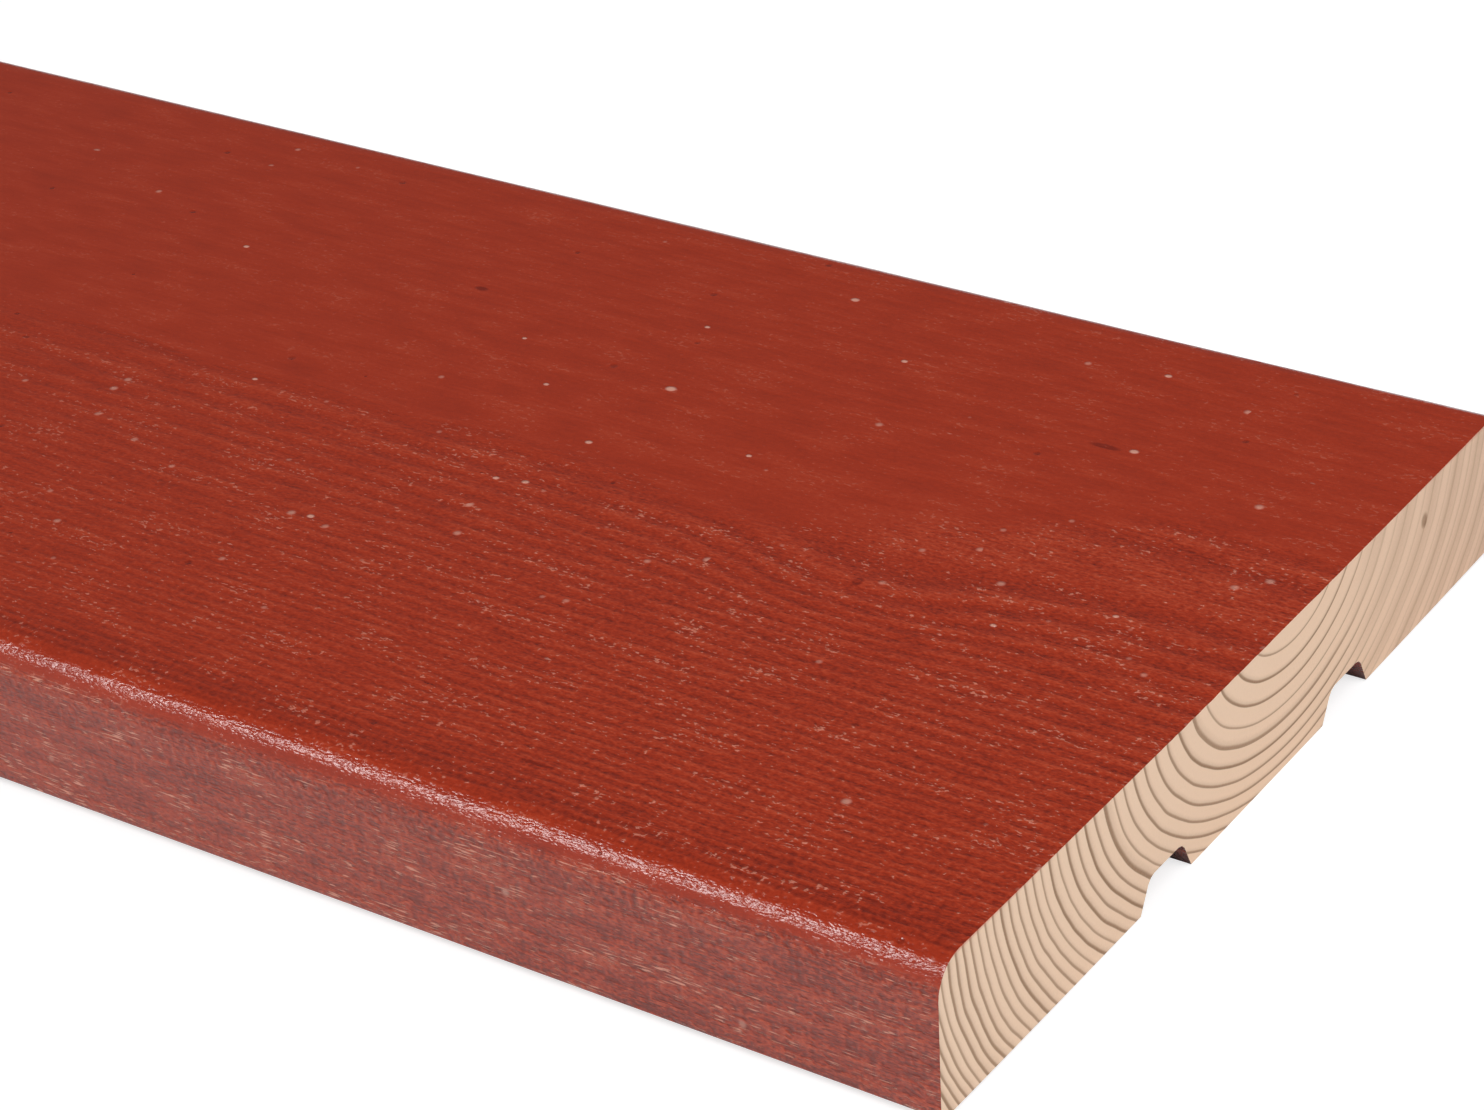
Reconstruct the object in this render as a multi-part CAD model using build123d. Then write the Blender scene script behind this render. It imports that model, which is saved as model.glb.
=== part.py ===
from build123d import *
import os

# Exterior cladding board of softwood, lying on its back with the painted face up.
# X runs along the board, Y across its width and Z up, in millimetres.
# The origin is the middle of the footprint. The cut end that shows is at +X.

# Overall sizes of the board
board_length = 3000.0
board_width = 145.0
board_thickness = 21.0

# Rounded arrises of the painted face, and eased arrises of the back
face_arris_radius = 4.5
back_arris_radius = 0.8

# Relief grooves in the back, a pair that lies a little off the middle of the width
groove_count = 2
groove_spacing = 47.5
groove_pair_offset = 2.5
groove_mouth_width = 12.5
groove_root_width = 8.0
groove_depth = 4.4
groove_root_radius = 1.0

# The section is drawn flat: its own Y is the board's height above the floor.
section_height = Axis.Y


def board_outline():
    """The board's cross-section without its grooves, standing on the floor."""
    with BuildSketch(Plane.YZ) as outline:
        Rectangle(board_width, board_thickness, align=(Align.CENTER, Align.MIN))
        fillet(outline.vertices().group_by(section_height)[-1], face_arris_radius)
        fillet(outline.vertices().group_by(section_height)[0], back_arris_radius)
    return outline.sketch


def groove_outline(centre):
    """One relief groove: sloping walls from its mouth in the back up to a narrower flat root."""
    mouth_half = groove_mouth_width / 2
    root_half = groove_root_width / 2
    with BuildSketch(Plane.YZ) as outline:
        with BuildLine():
            Polyline(
                (centre - mouth_half, 0),
                (centre - root_half, groove_depth),
                (centre + root_half, groove_depth),
                (centre + mouth_half, 0),
                close=True,
            )
        make_face()
        fillet(outline.vertices().group_by(section_height)[-1], groove_root_radius)
    return outline.sketch


def groove_centres():
    """The grooves' places across the width, as a row about the line that the pair is set on."""
    first = groove_pair_offset - groove_spacing * (groove_count - 1) / 2
    return [first + groove_spacing * index for index in range(groove_count)]


def cladding_board():
    """The section carried along the whole length, with both ends cut square."""
    section = board_outline()
    for centre in groove_centres():
        section -= groove_outline(centre)
    return extrude(section, amount=board_length / 2, both=True)


os.makedirs("parts", exist_ok=True)
export_step(cladding_board(), "parts/cladding_board.step")
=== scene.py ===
import math

import bpy
from mathutils import Matrix, Vector


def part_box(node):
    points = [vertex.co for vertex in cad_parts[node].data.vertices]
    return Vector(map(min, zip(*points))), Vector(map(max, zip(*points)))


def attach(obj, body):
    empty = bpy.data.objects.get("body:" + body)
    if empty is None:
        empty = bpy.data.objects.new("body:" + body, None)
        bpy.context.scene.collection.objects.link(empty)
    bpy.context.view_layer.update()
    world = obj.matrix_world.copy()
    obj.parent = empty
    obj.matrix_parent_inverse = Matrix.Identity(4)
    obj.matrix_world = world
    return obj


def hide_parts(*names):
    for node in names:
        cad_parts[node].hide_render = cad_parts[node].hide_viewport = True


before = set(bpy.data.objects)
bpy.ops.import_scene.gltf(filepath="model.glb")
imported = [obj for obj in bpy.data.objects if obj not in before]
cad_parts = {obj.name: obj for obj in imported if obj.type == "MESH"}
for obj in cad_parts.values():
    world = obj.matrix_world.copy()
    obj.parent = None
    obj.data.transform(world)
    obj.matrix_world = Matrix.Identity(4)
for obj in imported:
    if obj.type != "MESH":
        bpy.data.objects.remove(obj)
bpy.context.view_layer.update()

mm = 0.001
millimetres_a_metre = 1000

# The board's place and size, from the frame, in metres
low, high = (Vector(corner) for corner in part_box("cladding_board"))
length = high.x - low.x
width = high.y - low.y
thickness = high.z - low.z
near_corner = Vector((high.x, low.y, high.z))

# The section's rounded arrises and relief grooves
face_arris_radius = 4.5 * mm
back_arris_radius = 0.8 * mm
groove_centres = (-21.25 * mm, 26.25 * mm)
groove_mouth_width = 12.5 * mm
groove_root_width = 8.0 * mm
groove_depth = 4.4 * mm
groove_root_radius = 1.0 * mm

# How finely the corners of the section are rounded
face_arris_steps = 8
small_corner_steps = 2

# Where the face's finely divided near half ends, and how often each stretch of the section is divided
face_split = 6 * mm
near_face_cuts = 90
far_face_cuts = 36
near_edge_cuts = 14
far_edge_cuts = 5
back_cuts = 3

# Stretches along the board from the cut end, in metres, each with its number of cuts
lengthwise = ((0.15, 100), (0.15, 75), (0.5, 70), (0.9, 50), (1.3, 40))

# How far the middle of the board has cupped below its two edges
cupping = 0.6 * mm

# How deep the relief goes, in millimetres: the furrows between the grain's ridges, the unevenness of the
# whole surface, and the wear of the near arris
furrow_depth = 0.10
lump_depth = 0.10
wear_depth = 0.11

# The tree that the board was sawn from: its pith in millimetres from the near long edge and from the face,
# how much wider than high its rings are, and the years that grew the broadest late wood
pith_across = 83.5
pith_above = 4.9
ring_stretch = 1.445
broad_years = (5, 13)

# Rings a millimetre at the pith, how they close up with the radius, and the pith's own year
rings_at_pith = 0.2004
closing_up = 0.00678
pith_year = -1.257

# Knots, each as its distance from the cut end, its distance from the near edge, how far it pushes the
# grain towards the near edge, and its reach along and across the grain, all in millimetres
knots = (
    (50, 66, 8.0, 19, 13),
    (40, 112, -3.0, 9, 9),
    (455, 97, -8.0, 22, 13),
    (790, 48, 6.5, 20, 12),
    (1240, 72, 9.0, 24, 14),
    (1610, 104, -6.0, 18, 11),
    (2050, 60, 8.0, 22, 13),
    (2480, 91, -7.5, 20, 13),
    (2790, 44, 6.0, 18, 11),
)

# Dark marks in the paint, each as its distance from the cut end and from the near edge, and its reach
# along and across the board, in millimetres
marks = ((41, 110.5, 3.0, 0.8), (51, 65, 0.9, 1.5), (61, 11.5, 3.2, 0.5), (143, 110, 1.4, 0.8))

# The larger dust nibs in the paint, each as its distance from the cut end and from the near edge, and its
# radius, in millimetres; each is raised and painted pale as its highlight
nibs = (
    (101, 97, 0.75), (102, 79, 0.5), (93, 132, 0.6), (43, 132, 0.5), (77, 119, 0.45), (81, 86, 0.4),
    (107, 115, 0.4), (128, 100, 0.35), (117, 90, 0.4), (107, 65, 0.45), (103, 66, 0.5), (122, 45, 0.5),
    (154, 72, 0.4), (183, 105, 0.45), (19, 73, 0.4), (31, 64, 0.4), (37, 111, 0.6),
)

# A pin knot in the cut end: its distance from the near edge and its height from the face, and its reach
# both ways, in millimetres
pin_knot_place = (121, -5.5)
pin_knot_reach = (1.1, 1.4)

# Colours of the paint from dark to light, with painted shade in its furrows and painted light on its
# ridges;
# pale for its fibres and their painted glints; pink for its nibs' painted highlights and its edges' painted
# sheen; and near black for the painted shade in and between its grooves
paint_stops = (
    (0.0, (0.20, 0.015, 0.005)),
    (0.45, (0.37, 0.032, 0.009)),
    (1.0, (0.54, 0.078, 0.030)),
)
fibre_and_glint_pale = (0.85, 0.36, 0.25, 1.0)
glint_and_sheen_pink = (0.86, 0.48, 0.37, 1.0)
painted_groove_shade = (0.02, 0.004, 0.003, 1.0)

# Colours of the cut end, from its near edge to its far one, of its late wood, and of its painted fringe
wood_stops = (
    (0.0, (0.82, 0.60, 0.44)),
    (0.6, (0.80, 0.57, 0.41)),
    (1.0, (0.72, 0.49, 0.35)),
)
late_wood_brown = (0.27, 0.15, 0.08, 1.0)
soaked_paint = (0.55, 0.16, 0.10, 1.0)

# Gloss of the paint and of the bare wood
paint_shine = 0.6
wood_shine = 0.3
wood_roughness = 0.65

# The floor, in metres: how far it reaches, how far below the board it lies, and between which distances
# from its middle the camera sees it turn from half lit paper to the white backdrop
white = (1.0, 1.0, 1.0, 1.0)
floor_paper = (0.88, 0.88, 0.88, 1.0)
floor_size = 60
floor_drop = 0.02 * mm
backdrop_strength = 1.35
backdrop_near, backdrop_far = 1.2, 3.2
backdrop_share_near = 0.5

# The white surround's light on the board, and the place that the softboxes are aimed at
ambient_strength = 0.10
lit_place = Vector((high.x - 0.1, 0, high.z))

# The photograph's width in pixels, and the camera's sensor in millimetres
photo_width = 1484
sensor_width = 36

# The camera, worked out from the board's straight edges: metres from the near top corner of the cut end
focal_pixels = 3848
camera_from_corner = (0.1746, -0.2803, 0.2393)
target_from_corner = (-0.0666, 0.0633, 0.0)
camera_roll = math.radians(-3.13)


class Socket:
    """An output of a node. Sums with it add the Math nodes that work them out."""

    def __init__(self, tree, output=None):
        self.tree = tree
        self.output = output

    def node(self, kind, settings=None, inputs=None, output=0):
        """A new node of this kind: its settings come first, then the values and links of its sockets."""
        made = self.tree.nodes.new(kind)
        for name, value in (settings or {}).items():
            if name == "stops":
                ramp = made.color_ramp.elements
                while len(ramp) < len(value):
                    ramp.new(1.0)
                for stop, (place, colour) in zip(ramp, value):
                    stop.position = place
                    stop.color = (*colour, 1.0)
            else:
                setattr(made, name, value)
        for name, value in (inputs or {}).items():
            socket = made.inputs[name]
            if isinstance(value, Socket):
                self.tree.links.new(value.output, socket)
            else:
                socket.default_value = value
        return Socket(self.tree, made.outputs[output] if made.outputs else None)

    def maths(self, operation, *others):
        return self.node("ShaderNodeMath", {"operation": operation}, dict(enumerate((self, *others))))

    def __add__(self, other):
        return self.maths("ADD", other)

    __radd__ = __add__

    def __sub__(self, other):
        return self.maths("SUBTRACT", other)

    def __rsub__(self, other):
        return self * -1.0 + other

    def __mul__(self, other):
        return self.maths("MULTIPLY", other)

    __rmul__ = __mul__

    def __truediv__(self, other):
        return self.maths("DIVIDE", other)

    def __rtruediv__(self, other):
        return self.maths("POWER", -1.0) * other

    def __neg__(self):
        return self * -1.0

    def between(self, start, end, low_value=0.0, high_value=1.0):
        """A soft step: low_value up to start, high_value from end on."""
        return self.node(
            "ShaderNodeMapRange",
            {"interpolation_type": "SMOOTHSTEP"},
            {
                "Value": self,
                "From Min": start,
                "From Max": end,
                "To Min": low_value,
                "To Max": high_value,
            },
        )

    def parts(self):
        """The three parts of a vector."""
        split = self.node("ShaderNodeSeparateXYZ", inputs={"Vector": self})
        return [Socket(self.tree, output) for output in split.output.node.outputs]

    def point(self, x, y, z):
        return self.node("ShaderNodeCombineXYZ", inputs={"X": x, "Y": y, "Z": z})

    def noise(self, place, detail=2.0, roughness=0.5, dimensions="3D"):
        """Smooth noise about 0, from -0.5 to 0.5, whose lumps are about 1 unit across."""
        return self.node(
            "ShaderNodeTexNoise",
            {"noise_dimensions": dimensions},
            {"Vector": place, "Scale": 1.0, "Detail": detail, "Roughness": roughness},
        ) - 0.5

    def streaks(self, along, across, detail=2.0, roughness=0.5):
        """Flat noise at two coordinates."""
        return self.noise(self.point(along, across, 0.0), detail, roughness, "2D")

    def attribute(self, name):
        return self.node("ShaderNodeAttribute", {"attribute_name": name}, output="Fac")

    def dots(self, along, across, inner, outer):
        """Round dots, one to a cell: 1 within inner, 0 beyond outer. Two random values a cell follow."""
        place = self.point(along, across, 0.0)
        cell = self.node(
            "ShaderNodeTexVoronoi",
            {"voronoi_dimensions": "2D"},
            {"Vector": place, "Scale": 1.0},
        )
        luck = Socket(self.tree, cell.output.node.outputs["Color"]).parts()
        away = cell / (luck[1] * 0.8 + 0.5)
        return away.between(inner, outer, 1.0, 0.0), luck[0], luck[1]

    def spot(self, along, across, reach_along, reach_across):
        """A soft spot in a flat place: 1 at its centre, 0 beyond its reach."""
        shrink = (1 / reach_along, 1 / reach_across, 0)
        centre = (along / reach_along, across / reach_across, 0)
        scaled = self.node("ShaderNodeVectorMath", {"operation": "MULTIPLY"}, {0: self, 1: shrink})
        away = self.node(
            "ShaderNodeVectorMath",
            {"operation": "DISTANCE"},
            {0: scaled, 1: centre},
            "Value",
        )
        return away.between(0.45, 1.0, 1.0, 0.0)

    def blend(self, first, second):
        """first where this value is 0, second where it is 1, for colours."""
        return self.node("ShaderNodeMix", {"data_type": "RGBA"}, {0: self, 6: first, 7: second}, 2)


def board_place(position):
    """Millimetres from the cut end, from the near edge and from the face, at an object position."""
    x, y, z = position.parts()
    from_end = (high.x - x) * millimetres_a_metre
    from_edge = (y - low.y) * millimetres_a_metre
    from_face = (z - high.z) * millimetres_a_metre
    return from_end, from_edge, from_face


def growth(position):
    """Years of growth between the pith and each point of the wood, and rings a millimetre there."""
    from_end, from_edge, from_face = board_place(position)
    along = from_end / 60
    wobble = position.noise(position.point(along, from_edge / 30, from_face / 30), 1.0) * 1.6
    ripple = position.noise(position.point(from_end / 16, from_edge / 7, from_face / 7), 1.0) * 0.7
    push = 0.0
    for knot_along, knot_across, knot_push, reach_along, reach_across in knots:
        east = (from_end - knot_along) / reach_along
        north = (from_edge - knot_across) / reach_across
        push = (-(east * east + north * north)).maths("EXPONENT") * knot_push + push
    drift = (from_end / 400).maths("SINE") * 6
    across = (from_edge + wobble + ripple + push - drift - pith_across) / ring_stretch
    above = from_face - pith_above
    radius = (across * across + above * above).maths("SQRT")
    years = radius * rings_at_pith + radius * radius * closing_up + pith_year
    rings_a_millimetre = radius * (2 * closing_up) + rings_at_pith
    return years, rings_a_millimetre


def late_wood(years, rings_a_millimetre):
    """The dark late wood that ends each year: a faint start, a dark line, then a sharp stop."""
    year = years.maths("CEIL")
    to_year_end = (year - years) / rings_a_millimetre
    luck = year.node("ShaderNodeTexWhiteNoise", {"noise_dimensions": "1D"}, {"W": year})
    broad = 0.0
    for broad_year in broad_years:
        broad = (1 - (year - broad_year).maths("ABSOLUTE")).maths("MAXIMUM", 0.0) + broad
    line_end = luck * 0.12 + 0.30 + broad * 0.2
    line = (to_year_end / line_end).between(0.55, 1.25, 1.0, 0.0)
    tail = (to_year_end / (luck * 0.35 + 0.7 + broad * 0.6)).between(0.2, 1.0, 1.0, 0.0)
    stop = to_year_end.between(-0.02, 0.10)
    return (line * 0.68 + tail * 0.32) * stop * (luck * 0.3 + 0.7)


def grain_lines(years):
    """Ridges of the late wood where the years run out on the face, from 0 to 1."""
    return (years * (2 * math.pi)).maths("COSINE") * 0.5 + 0.5


def smooth_line(position):
    """How far a point lies beyond the wandering line along the board where the smooth half starts."""
    from_end, from_edge, _ = board_place(position)
    sway = position.noise(position.point(from_end / 45, 0.0, 0.0)) * 14
    ripple = position.noise(position.point(from_end / 9, 4.0, 0.0)) * 2.5
    by_the_end = from_end.between(15, 75, 24, 0)
    return from_edge + sway + ripple - by_the_end - 74


def lively_grain(position):
    """How strongly the grain stands on the face: most in the near half and by the cut end."""
    from_end, _, _ = board_place(position)
    near_half = smooth_line(position).between(-5, 3, 1.0, 0.22)
    return near_half * from_end.between(5, 260, 1.4, 0.40)


def select_where(test):
    """Selects, in edit mode, the vertices whose place passes the test, and all that lies between them."""
    board = bpy.context.edit_object
    bpy.ops.mesh.select_mode(type="VERT")
    bpy.ops.mesh.select_all(action="DESELECT")
    bpy.ops.object.mode_set(mode="OBJECT")
    for vertex in board.data.vertices:
        vertex.select = bool(test(vertex.co))
    bpy.ops.object.mode_set(mode="EDIT")
    bpy.ops.mesh.select_mode(type="VERT")


def near(value, target, reach=0.01 * mm):
    return abs(value - target) < reach


def draw_section():
    """The board's section as one flat face at its far end."""
    bpy.ops.mesh.primitive_plane_add(size=1, rotation=(0, math.pi / 2, 0))
    board = bpy.context.object
    board.name = board.data.name = "painted_board"
    board.scale = (thickness, width, 1)
    board.location = (low.x, 0, low.z + thickness / 2)
    bpy.ops.object.transform_apply(location=True, rotation=True, scale=True)
    bpy.ops.object.mode_set(mode="EDIT")

    for centre in groove_centres:
        for side in (-1, 1):
            bpy.ops.mesh.select_all(action="SELECT")
            mouth = centre + side * groove_mouth_width / 2
            bpy.ops.mesh.bisect(plane_co=(0, mouth, 0), plane_no=(0, 1, 0))
    root = low.z + groove_depth
    bpy.ops.mesh.select_all(action="SELECT")
    bpy.ops.mesh.bisect(plane_co=(0, 0, root), plane_no=(0, 0, 1))

    for centre in groove_centres:
        half = groove_mouth_width / 2 + 0.01 * mm
        bpy.ops.mesh.select_mode(type="FACE")
        bpy.ops.mesh.select_all(action="DESELECT")
        bpy.ops.object.mode_set(mode="OBJECT")
        for face in board.data.polygons:
            face.select = abs(face.center.y - centre) < half and face.center.z < root
        bpy.ops.object.mode_set(mode="EDIT")
        bpy.ops.mesh.delete(type="FACE")
        select_where(lambda place: abs(place.y - centre) < half and near(place.z, root))
        narrowing = groove_root_width / groove_mouth_width
        bpy.ops.transform.resize(value=(1, narrowing, 1), center_override=(low.x, centre, root))

    bpy.ops.mesh.select_all(action="SELECT")
    bpy.ops.mesh.dissolve_limited(angle_limit=math.radians(1))
    return board


def round_corners(test, radius, steps):
    select_where(test)
    bpy.ops.mesh.bevel(affect="VERTICES", offset_type="OFFSET", offset=radius, segments=steps)


def cut_edges(test, cuts):
    """Divides the section's edges whose both ends pass the test."""
    select_where(test)
    bpy.ops.mesh.subdivide(number_cuts=cuts)


def make_board():
    """The board: its section rounded, drawn out to full length, and divided where its relief shows."""
    board = draw_section()
    half_width = width / 2
    half_root = groove_root_width / 2
    root = low.z + groove_depth
    round_corners(lambda p: near(p.z, high.z), face_arris_radius, face_arris_steps)
    round_corners(
        lambda p: near(p.z, low.z) and near(abs(p.y), half_width),
        back_arris_radius,
        small_corner_steps,
    )
    for centre in groove_centres:
        round_corners(
            lambda p: near(p.z, root) and near(abs(p.y - centre), half_root),
            groove_root_radius,
            small_corner_steps,
        )

    select_where(lambda p: near(p.z, high.z))
    bpy.ops.mesh.bisect(plane_co=(0, face_split, 0), plane_no=(0, 1, 0))
    cut_edges(lambda p: near(p.z, high.z) and p.y < face_split + 0.1 * mm, near_face_cuts)
    cut_edges(lambda p: near(p.z, high.z) and p.y > face_split - 0.1 * mm, far_face_cuts)
    cut_edges(lambda p: near(p.y, low.y), near_edge_cuts)
    cut_edges(lambda p: near(p.y, high.y), far_edge_cuts)
    cut_edges(lambda p: near(p.z, low.z), back_cuts)

    bpy.ops.mesh.select_all(action="SELECT")
    bpy.ops.mesh.extrude_region_move(TRANSFORM_OT_translate={"value": (length, 0, 0)})
    bpy.ops.mesh.select_all(action="SELECT")
    bpy.ops.mesh.normals_make_consistent(inside=False)

    start = high.x
    for stretch, cuts in lengthwise:
        stop = start - stretch
        if stop > low.x + mm:
            bpy.ops.mesh.select_all(action="SELECT")
            bpy.ops.mesh.bisect(plane_co=(stop, 0, 0), plane_no=(1, 0, 0))
        select_long_edges(stop, start)
        bpy.ops.mesh.subdivide(number_cuts=cuts)
        start = stop
    bpy.ops.object.mode_set(mode="OBJECT")
    return board


def select_long_edges(stop, start):
    """Selects the edges that run along the board between two stations."""
    board = bpy.context.edit_object
    bpy.ops.mesh.select_mode(type="EDGE")
    bpy.ops.mesh.select_all(action="DESELECT")
    bpy.ops.object.mode_set(mode="OBJECT")
    places = board.data.vertices
    for edge in board.data.edges:
        first, second = (places[index].co.x for index in edge.vertices)
        edge.select = near(min(first, second), stop) and near(max(first, second), start)
    bpy.ops.object.mode_set(mode="EDIT")
    bpy.ops.mesh.select_mode(type="EDGE")


def relief_nodes():
    """Geometry nodes that cup the board and raise its grain, always inwards from the sawn sizes."""
    tree = bpy.data.node_groups.new("board_relief", "GeometryNodeTree")
    tree.interface.new_socket("Geometry", in_out="INPUT", socket_type="NodeSocketGeometry")
    tree.interface.new_socket("Geometry", in_out="OUTPUT", socket_type="NodeSocketGeometry")
    start = Socket(tree)
    position = start.node("GeometryNodeInputPosition")
    normal = start.node("GeometryNodeInputNormal")
    from_end, from_edge, from_face = board_place(position)
    years, _ = growth(position)
    grain = lively_grain(position)
    normal_parts = normal.parts()
    facing_up = normal_parts[2].between(0.3, 0.9)
    not_back = normal_parts[2].between(-0.5, -0.2)

    fine_zone = from_end.between(260, 330, 1.0, 0.0)
    wide_rings = from_edge.between(46, 56)
    furrows = (1 - grain_lines(years)) * grain * wide_rings * facing_up * furrow_depth
    lumps = position.noise(start.point(from_end / 14, from_edge / 4, from_face / 4), 2.0) + 0.5
    arris = (from_edge - 1.6).maths("ABSOLUTE").between(0.8, 3.4, 1.0, 0.0) * from_face.between(-6, -3)
    wear = position.noise(start.point(from_end / 5, from_edge / 1.6, from_face / 1.6), 3.0) + 0.5
    depth = (furrows + lumps * lump_depth + arris * wear * wear_depth) * fine_zone * not_back * mm

    inward = start.point(0.0, -normal_parts[1] * depth, -normal_parts[2] * depth)
    middle = (from_edge / (width / mm) - 0.5) * 2
    sag = (1 - middle * middle) * cupping
    share = from_face / (thickness / mm) + 1
    lift = (1 - share) * cupping
    cup = start.point(0.0, 0.0, lift - sag)
    moved = start.node("ShaderNodeVectorMath", {"operation": "ADD"}, {0: inward, 1: cup})
    board = start.node("NodeGroupInput")
    for name, value in (("years", years), ("grain", grain), ("beyond_line", smooth_line(position))):
        board = start.node(
            "GeometryNodeStoreNamedAttribute",
            {"data_type": "FLOAT", "domain": "POINT"},
            {"Geometry": board, "Name": name, "Value": value},
        )
    placed = start.node("GeometryNodeSetPosition", inputs={"Geometry": board, "Offset": moved})
    start.node("NodeGroupOutput", inputs={"Geometry": placed})
    return tree


def raise_relief(board):
    relief = board.modifiers.new("relief", "NODES")
    relief.node_group = relief_nodes()
    bpy.ops.object.modifier_apply(modifier="relief")
    bpy.ops.object.shade_smooth_by_angle(angle=math.radians(32))


def new_material(name):
    """An empty material, and a socket to start its nodes from."""
    material = bpy.data.materials.new(name)
    material.use_nodes = True
    tree = material.node_tree
    tree.nodes.clear()
    return material, Socket(tree)


def finish_material(start, colour, roughness, height, shine):
    """The Principled shader and its bump, whose height is in millimetres."""
    bump = start.node("ShaderNodeBump", inputs={"Height": height, "Distance": mm, "Strength": 1.0})
    shader = start.node(
        "ShaderNodeBsdfPrincipled",
        inputs={
            "Base Color": colour,
            "Roughness": roughness,
            "Normal": bump,
            "Specular IOR Level": shine,
        },
    )
    start.node("ShaderNodeOutputMaterial", inputs={"Surface": shader})


def red_paint():
    """Satin red paint over fine-sawn softwood: grain ridges, lifted fibres, dust nibs and pits, with
    painted shading on the raised grain, painted glints, highlights and sheen, and painted shade by the near
    arris and on the back around the grooves.
    """
    material, start = new_material("red_paint")
    position = start.node("ShaderNodeTexCoord", output="Object")
    from_end, from_edge, from_face = board_place(position)
    unrolled = from_edge + from_face
    flat_place = start.point(from_end, unrolled, 0.0)
    years = start.attribute("years")
    grain = start.attribute("grain")
    beyond_line = start.attribute("beyond_line")

    strand = start.streaks(from_end / 7, unrolled / 0.8, 2.0, 0.6)
    speckle = start.streaks(from_end / 1.5, unrolled / 0.8, 2.0, 0.65)
    grit = start.streaks(from_end / 0.75, unrolled / 0.42, 1.0)
    lump = start.streaks(from_end / 11, unrolled / 4, 1.0)
    fibre = start.streaks(from_end / 2.5, unrolled / 0.22, 1.0)
    dot, dot_luck, dot_glow = start.dots(from_end / 3.2, unrolled / 3.2, 0.05, 0.20)
    crowd = beyond_line.between(-48, -30) * beyond_line.between(-8, 6, 1.0, 0.0)
    nib_and_glint = dot * dot_luck.maths("LESS_THAN", crowd * 0.05 + 0.015 + lump * 0.04) * (dot_glow * 0.5 + 0.1)
    pit = dot * dot_luck.maths("GREATER_THAN", 0.991)
    for nib_along, nib_across, radius in nibs:
        nib_and_glint = flat_place.spot(nib_along, nib_across, radius * 1.35, radius * 1.1) * 0.85 + nib_and_glint

    edge_wood = from_face.between(-3.4, -2.0, 1.0, 0.0)
    on_face = 1 - edge_wood
    arris = unrolled.between(1.0, 5.0, 1.0, 0.0) * on_face
    even = 1 - arris * 0.75
    rough = (grain * (edge_wood * 0.9 + 1) + 0.05) * even
    ridge = (grain_lines(years + strand * 0.45) - 0.5) * grain * (0.85 + lump) * even
    # Flecks on the face and dashes on the edges are raised fibres, painted pale as their painted highlights
    flecks = (speckle * 0.7 + grit * 0.6 + lump * 0.4).between(0.17, 0.27) * on_face
    dashes = (fibre + lump * 0.45).between(0.18, 0.26) * edge_wood
    checks = (fibre + lump * 0.45).between(-0.25, -0.17, 1.0, 0.0) * edge_wood
    fibres_and_glints = (flecks * 0.85 + dashes * 2.4) * rough
    # Painted shade: a band of the face from 2.5 to 12 mm in from the near edge is darkened, for the dark
    # that it mirrors
    painted_dark_band = unrolled.between(2.5, 5.0) * unrolled.between(6.0, 12.0, 1.0, 0.0)
    seam = (beyond_line / 1.6).maths("ABSOLUTE").between(0.2, 1.0, 1.0, 0.0)
    seam = seam * (strand + lump).between(-0.1, 0.15)
    seam = seam * from_end.between(50, 90) * from_end.between(170, 230, 1.0, 0.0)
    seam = seam * from_face.between(-1.0, -0.5)
    worn = arris * (lump * 2 + speckle * 0.7 + grit * 0.4)

    height = strand * (rough * 0.05 + 0.008) + speckle * (rough * 0.10 + 0.008) + grit * rough * 0.05
    height = height + ridge * 0.055 + (dashes + flecks) * rough * 0.06
    height = height + nib_and_glint * 0.14 - pit * 0.10 - seam * 0.06 + worn * 0.03
    # Painted shading: raised strands, specks, grit and ridges are painted lighter and low ones darker;
    # lumps vary the tone at random, and the marks, pits, checks and seam are darker in the paint itself
    tone_and_shading = strand * (0.12 + rough * 0.3) + (speckle * 0.4 + grit * 0.55) * rough + lump * 0.25 + 0.45
    tone_and_shading = tone_and_shading + ridge * 0.22 - checks * rough * 0.85
    tone_and_shading = tone_and_shading - seam * 0.25 - pit * 0.25 - painted_dark_band * 0.14
    for mark_along, mark_across, reach_along, reach_across in marks:
        tone_and_shading = tone_and_shading - flat_place.spot(mark_along, mark_across, reach_along, reach_across) * 0.4
    colour = start.node("ShaderNodeValToRGB", {"stops": paint_stops}, {"Fac": tone_and_shading})
    colour = (fibres_and_glints * 0.34).maths("MINIMUM", 0.8).blend(colour, fibre_and_glint_pale)
    # Painted highlights on the nibs, and a faint painted sheen over the long edges and the back
    colour = (nib_and_glint * 0.75 + edge_wood * 0.03).maths("MINIMUM", 0.85).blend(colour, glint_and_sheen_pink)
    # Painted shade: from 40 to 110 mm from the near edge, the back and the groove walls are darkened almost
    # to black, fading out towards the groove roots
    shaded_groove_reach = from_face.between(-20.9, -15.5, 1.0, 0.0)
    shaded_groove_reach = shaded_groove_reach * from_edge.between(40, 44) * from_edge.between(106, 110, 1.0, 0.0)
    colour = (shaded_groove_reach * 0.85).blend(colour, painted_groove_shade)
    roughness = speckle * 0.15 - arris * 0.02 + 0.22
    finish_material(start, colour, roughness, height, paint_shine)
    return material


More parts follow.
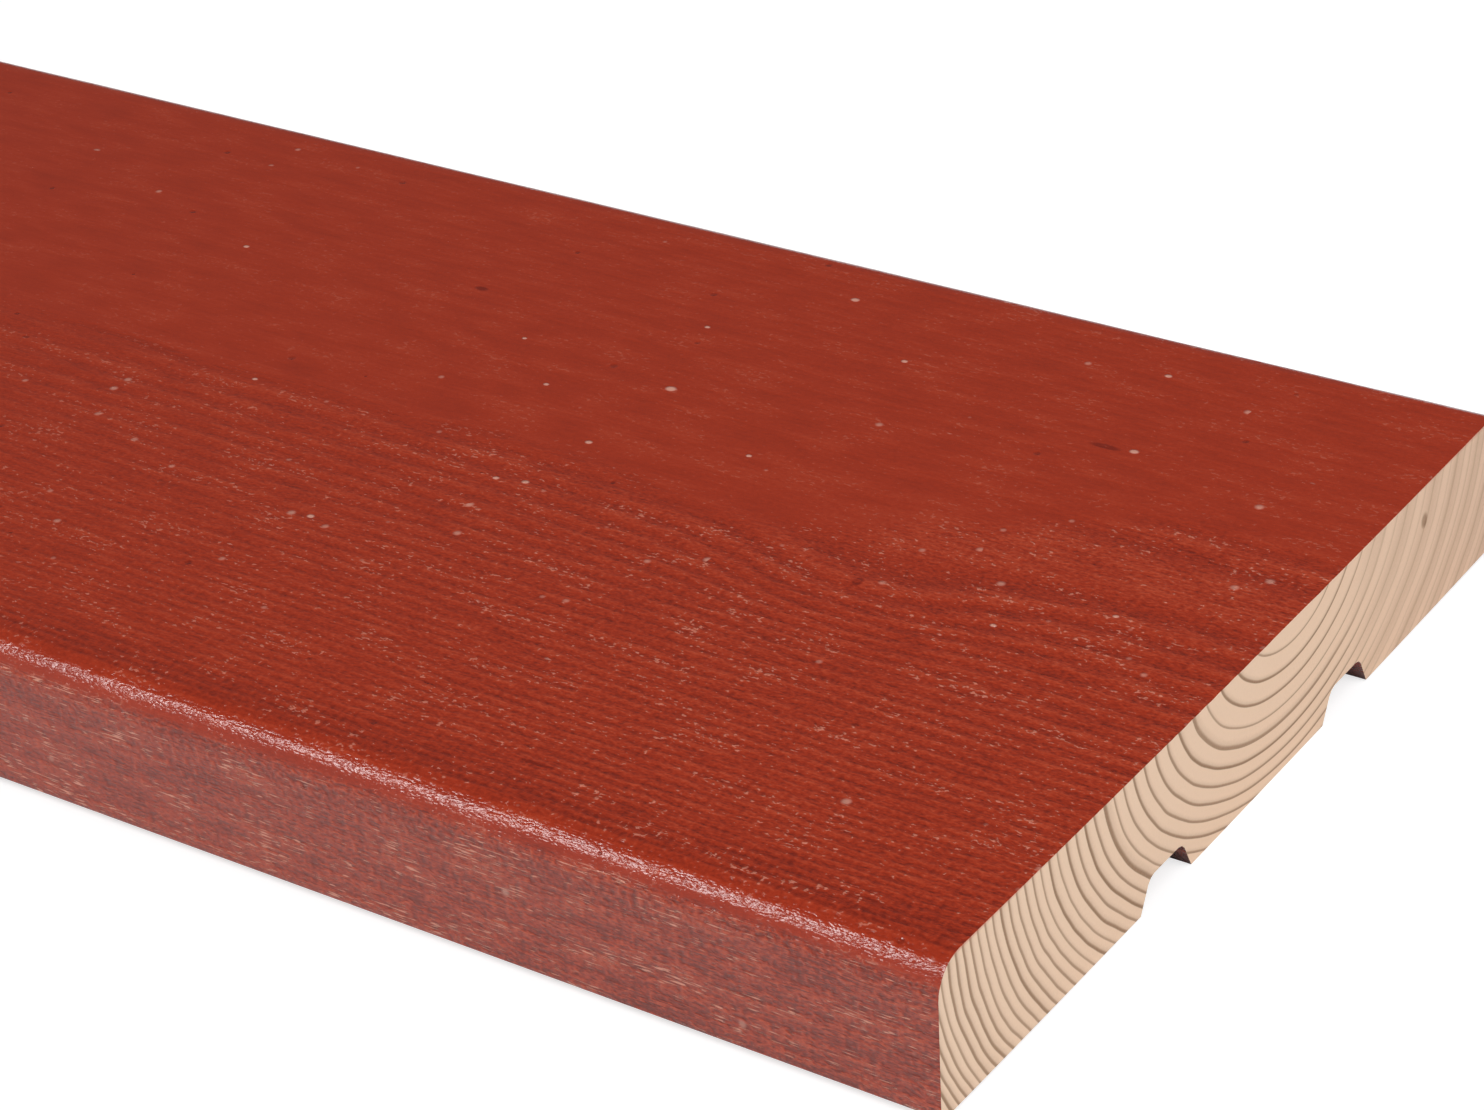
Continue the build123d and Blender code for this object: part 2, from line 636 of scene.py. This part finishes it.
def sawn_end():
    """The cut end's bare wood: its growth rings, a pin knot, and the paint that soaked in along its top."""
    material, start = new_material("sawn_end")
    position = start.node("ShaderNodeTexCoord", output="Object")
    _, from_edge, from_face = board_place(position)
    years, rings_a_millimetre = growth(position)
    rings = late_wood(years, rings_a_millimetre)
    fade = from_edge.between(90, 112, 1.0, 0.25)
    band = ((years - 1) * (2 * math.pi / 3)).maths("COSINE") * 0.5 + 0.5
    faint = band * from_edge.between(96, 112) * 0.22
    pores = start.streaks(from_edge / 0.4, from_face / 0.4, 2.0)
    pin_knot = start.point(from_edge, from_face, 0.0).spot(*pin_knot_place, *pin_knot_reach)
    dark = (rings * fade * 0.95 + faint + pores * 0.12 + pin_knot * 0.6).maths("MAXIMUM", 0.0)
    pale = start.node("ShaderNodeValToRGB", {"stops": wood_stops}, {"Fac": from_edge / (width / mm)})
    wood = dark.blend(pale, late_wood_brown)
    fringe = from_face.between(-0.7, -0.1)
    colour = (fringe * 0.6).blend(wood, soaked_paint)
    finish_material(start, colour, wood_roughness, pores * 0.04, wood_shine)
    return material


def paint_board(board):
    board.data.materials.append(red_paint())
    board.data.materials.append(sawn_end())
    for face in board.data.polygons:
        face.material_index = 1 if abs(face.normal.x) > 0.9 else 0


def pale_floor():
    """A plain white floor that clips to white for the camera where it is lit, and keeps the shadow."""
    bpy.ops.mesh.primitive_plane_add(size=floor_size, location=(0, 0, low.z - floor_drop))
    floor = bpy.context.object
    floor.name = "floor"
    material, start = new_material("white_floor")
    place = start.node("ShaderNodeTexCoord", output="Object")
    reach = start.node("ShaderNodeVectorMath", {"operation": "LENGTH"}, {0: place}, "Value")
    camera_ray = start.node("ShaderNodeLightPath", output="Is Camera Ray")
    paper = start.node("ShaderNodeBsdfDiffuse", inputs={"Color": floor_paper})
    backdrop = start.node("ShaderNodeEmission", inputs={"Color": white, "Strength": backdrop_strength})
    far = camera_ray * reach.between(backdrop_near, backdrop_far, backdrop_share_near, 1.0)
    mixed = start.node("ShaderNodeMixShader", inputs={0: far, 1: paper, 2: backdrop})
    start.node("ShaderNodeOutputMaterial", inputs={"Surface": mixed})
    floor.data.materials.append(material)


def softbox(name, offset, size, radiance, mirrored=True):
    """A softbox this far from the place that it lights, with its brightness as the light that it sends
    each way, and whether the paint's gloss mirrors it."""
    place = lit_place + Vector(offset)
    lamp = bpy.data.lights.new(name, "AREA")
    lamp.shape = "RECTANGLE"
    lamp.size, lamp.size_y = size
    lamp.energy = radiance * math.pi * lamp.size * lamp.size_y
    holder = bpy.data.objects.new(name, lamp)
    bpy.context.scene.collection.objects.link(holder)
    holder.location = place
    holder.rotation_euler = (lit_place - place).to_track_quat("-Z", "Y").to_euler()
    holder.visible_camera = False
    holder.visible_glossy = mirrored


def studio():
    """Soft light from above and the right, a strip light for the near arris, and a white surround."""
    softbox("main_softbox", (0.9, -0.25, 1.7), (1.3, 1.3), 4.0)
    softbox("strip_light", (-2.0, -1.77, 2.98), (1.3, 0.7), 14.5)
    softbox("right_softbox", (3.3, -0.7, 1.9), (3.2, 3.2), 1.65, mirrored=False)
    softbox("front_panel", (-2.0, -3.2, 1.2), (4.0, 2.4), 0.42)
    world = bpy.data.worlds.new("surround")
    bpy.context.scene.world = world
    world.use_nodes = True
    world.node_tree.nodes.clear()
    start = Socket(world.node_tree)
    camera_ray = start.node("ShaderNodeLightPath", output="Is Camera Ray")
    strength = camera_ray * (1 - ambient_strength) + ambient_strength
    sky = start.node("ShaderNodeBackground", inputs={"Color": white, "Strength": strength})
    start.node("ShaderNodeOutputWorld", inputs={"Surface": sky})


def aim_camera():
    """The photograph's view: close over the near corner of the cut end, looking along the board."""
    camera = bpy.data.cameras.new("camera")
    camera.sensor_width = sensor_width
    camera.lens = sensor_width * focal_pixels / photo_width
    holder = bpy.data.objects.new("camera", camera)
    bpy.context.scene.collection.objects.link(holder)
    holder.location = near_corner + Vector(camera_from_corner)
    aim = near_corner + Vector(target_from_corner) - holder.location
    turn = aim.to_track_quat("-Z", "Y").to_matrix()
    holder.rotation_euler = (turn @ Matrix.Rotation(camera_roll, 3, "Z")).to_euler()
    bpy.context.scene.camera = holder


bpy.ops.object.select_all(action="DESELECT")
board = make_board()
raise_relief(board)
paint_board(board)
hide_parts("cladding_board")
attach(board, "root")
pale_floor()
studio()
aim_camera()
bpy.context.scene.view_settings.view_transform = "Standard"
